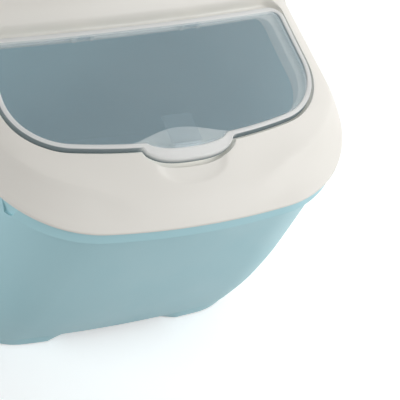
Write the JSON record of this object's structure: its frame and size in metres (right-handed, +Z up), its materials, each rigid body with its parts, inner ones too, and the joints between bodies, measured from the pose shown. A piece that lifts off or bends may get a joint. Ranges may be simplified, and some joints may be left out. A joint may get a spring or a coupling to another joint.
{
  "type": "rice bin with flip lid",
  "caption": "Free-standing kitchen bin for dry rice: tapered tub, bow-front lift-off cover and a translucent hinged flip lid with a thumb tab.",
  "frame": {"origin": "floor level, in the middle of the cover's footprint", "axes": "+Z up, front with the thumb tab towards -Y, +X to the right seen from the front"},
  "size_m": [0.3396, 0.285, 0.2857],
  "materials": {
    "tub_plastic": "satin moulded, light blue",
    "cover_plastic": "satin moulded, ivory",
    "lid_plastic": "frosted translucent",
    "hook_plastic": "moulded, white",
    "foot_rubber": "matte, dark grey",
    "pin_steel": "drawn"
  },
  "bodies": {
    "bin": {"tub": "tub_plastic", "foot_front_left": "foot_rubber", "foot_front_right": "foot_rubber", "foot_rear_left": "foot_rubber", "foot_rear_right": "foot_rubber"},
    "cover": {"cover": "cover_plastic", "hinge_pin_left": "pin_steel", "hinge_pin_right": "pin_steel"},
    "lid": {"flip_lid": "lid_plastic", "latch_hook": "hook_plastic"}
  },
  "joints": [
    {"name": "cover_lift", "type": "slide", "parent": "bin", "child": "cover", "axis": [0, 0, 1], "range_m": [0, 0.08]},
    {"name": "lid_hinge", "type": "hinge", "parent": "cover", "child": "lid", "pos_m": [0, 0.035, 0.26092], "axis": [-1, 0, 0], "range_deg": [0, 105]}
  ]
}
